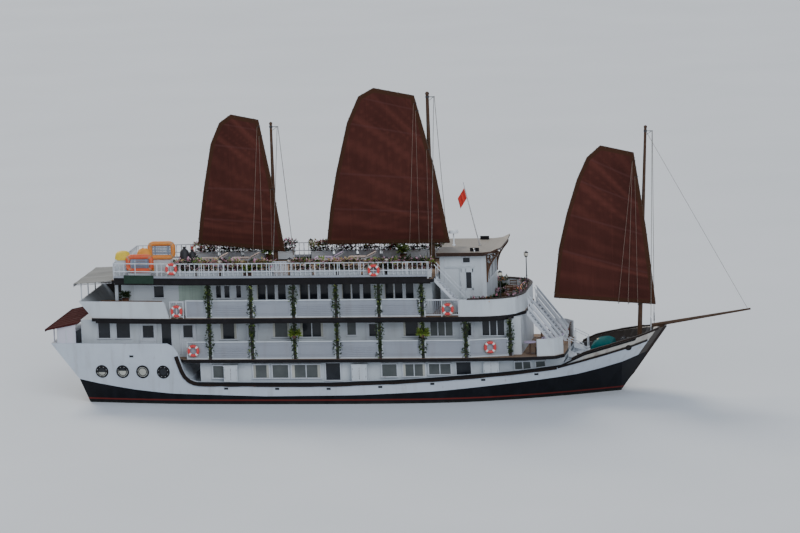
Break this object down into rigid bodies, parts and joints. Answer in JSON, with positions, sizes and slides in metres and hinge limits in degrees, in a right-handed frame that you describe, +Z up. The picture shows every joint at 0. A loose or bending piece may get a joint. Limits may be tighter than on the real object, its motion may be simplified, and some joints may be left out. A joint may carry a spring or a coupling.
{
  "type": "three-masted cruise junk, 1:2 scale model",
  "caption": "Half-size cruise junk afloat: steel hull, white galleried decks, raised wheelhouse, brown lug sails that swing about their masts, and turning rudders and propellers.",
  "frame": {"origin": "on the waterline amidships, on the centreline", "axes": "+X forward to the bow, +Y to port, +Z up"},
  "size_m": [21.6297, 4.364, 10.526],
  "materials": {
    "bottom_paint": "semi-gloss black paint with a thin dark red line at the water",
    "white_paint": "white gloss paint, weathered",
    "edge_paint": "black edge paint, grey deck covering above",
    "timber": "dark varnished hardwood",
    "sailcloth": "dark maroon canvas, matte",
    "rigging": "dull galvanised wire",
    "bronze": "dull propeller bronze",
    "raft_rubber": "orange coated rubber, matte",
    "awning_cloth": "grey awning cloth, matte",
    "canopy_red": "dark red roof paint, weathered",
    "tarpaulin": "teal tarpaulin, slightly shiny"
  },
  "bodies": {
    "root": {"hull_bottom": "bottom_paint", "hull_topsides": "white_paint", "rub_rail_starboard": "edge_paint", "rub_rail_port": "edge_paint", "house_1": "white_paint", "deck_2": "edge_paint", "house_2": "white_paint", "deck_3": "edge_paint", "house_3": "white_paint", "sun_deck": "edge_paint", "gallery_2_starboard": "white_paint", "gallery_2_port": "white_paint", "gallery_3_starboard": "white_paint", "gallery_3_port": "white_paint", "sun_deck_rail": "white_paint", "terrace_bulwark": "white_paint", "stern_bulwark": "white_paint", "lounge_bulwark_starboard": "white_paint", "lounge_bulwark_port": "white_paint", "cabin_base": "white_paint", "cabin_side_starboard": "white_paint", "cabin_side_port": "white_paint", "cabin_front": "white_paint", "cabin_back": "white_paint", "cabin_roof": "timber", "sun_deck_stair_starboard": "white_paint", "sun_deck_stair_port": "white_paint", "terrace_stair_starboard": "white_paint", "terrace_stair_port": "white_paint", "foredeck_stair_starboard": "white_paint", "foredeck_stair_port": "white_paint", "fore_mast": "timber", "main_mast": "timber", "aft_mast": "timber", "bowsprit": "timber", "forestay": "rigging", "stern_awning": "awning_cloth", "raft_locker": "white_paint", "raft_outer": "raft_rubber", "raft_inner": "raft_rubber", "stern_canopy": "canopy_red", "flagpole": "white_paint", "foredeck_locker": "tarpaulin", "windlass": "edge_paint"},
    "fore_rig": {"fore_sail_frame": "timber", "fore_sail": "sailcloth"},
    "main_rig": {"main_sail_frame": "timber", "main_sail": "sailcloth"},
    "aft_rig": {"aft_sail_frame": "timber", "aft_sail": "sailcloth"},
    "starboard_rudder": {"rudder_starboard": "bottom_paint"},
    "port_rudder": {"rudder_port": "bottom_paint"},
    "starboard_propeller": {"propeller_starboard": "bronze"},
    "port_propeller": {"propeller_port": "bronze"},
    "starboard_door": {"cabin_door_starboard": "timber"},
    "port_door": {"cabin_door_port": "timber"}
  },
  "joints": [
    {"name": "fore_sail_swing", "type": "hinge", "parent": "root", "child": "fore_rig", "pos_m": [8.79, 0, 1.3753], "axis": [0.0533, 0, 0.9986], "range_deg": [-60, 60]},
    {"name": "main_sail_swing", "type": "hinge", "parent": "root", "child": "main_rig", "pos_m": [2.475, 0, 3.85], "axis": [0, 0, 1], "range_deg": [-60, 60]},
    {"name": "aft_sail_swing", "type": "hinge", "parent": "root", "child": "aft_rig", "pos_m": [-2.425, 0, 3.85], "axis": [0, 0, 1], "range_deg": [-60, 60]},
    {"name": "starboard_rudder_turn", "type": "hinge", "parent": "root", "child": "starboard_rudder", "pos_m": [-7.75, -0.75, -0.5], "axis": [0, 0, 1], "range_deg": [-35, 35]},
    {"name": "port_rudder_turn", "type": "hinge", "parent": "root", "child": "port_rudder", "pos_m": [-7.75, 0.75, -0.5], "axis": [0, 0, 1], "range_deg": [-35, 35]},
    {"name": "starboard_propeller_spin", "type": "hinge", "parent": "root", "child": "starboard_propeller", "pos_m": [-7.175, -0.75, -0.7], "axis": [1, 0, 0], "continuous": true},
    {"name": "port_propeller_spin", "type": "hinge", "parent": "root", "child": "port_propeller", "pos_m": [-7.175, 0.75, -0.7], "axis": [1, 0, 0], "continuous": true},
    {"name": "starboard_door_slide", "type": "slide", "parent": "root", "child": "starboard_door", "axis": [-1, 0, 0], "range_m": [0, 0.4]},
    {"name": "port_door_slide", "type": "slide", "parent": "root", "child": "port_door", "axis": [-1, 0, 0], "range_m": [0, 0.4]}
  ],
  "couplings": [
    {"joint": "port_rudder_turn", "follows": "starboard_rudder_turn", "ratio": 1}
  ]
}
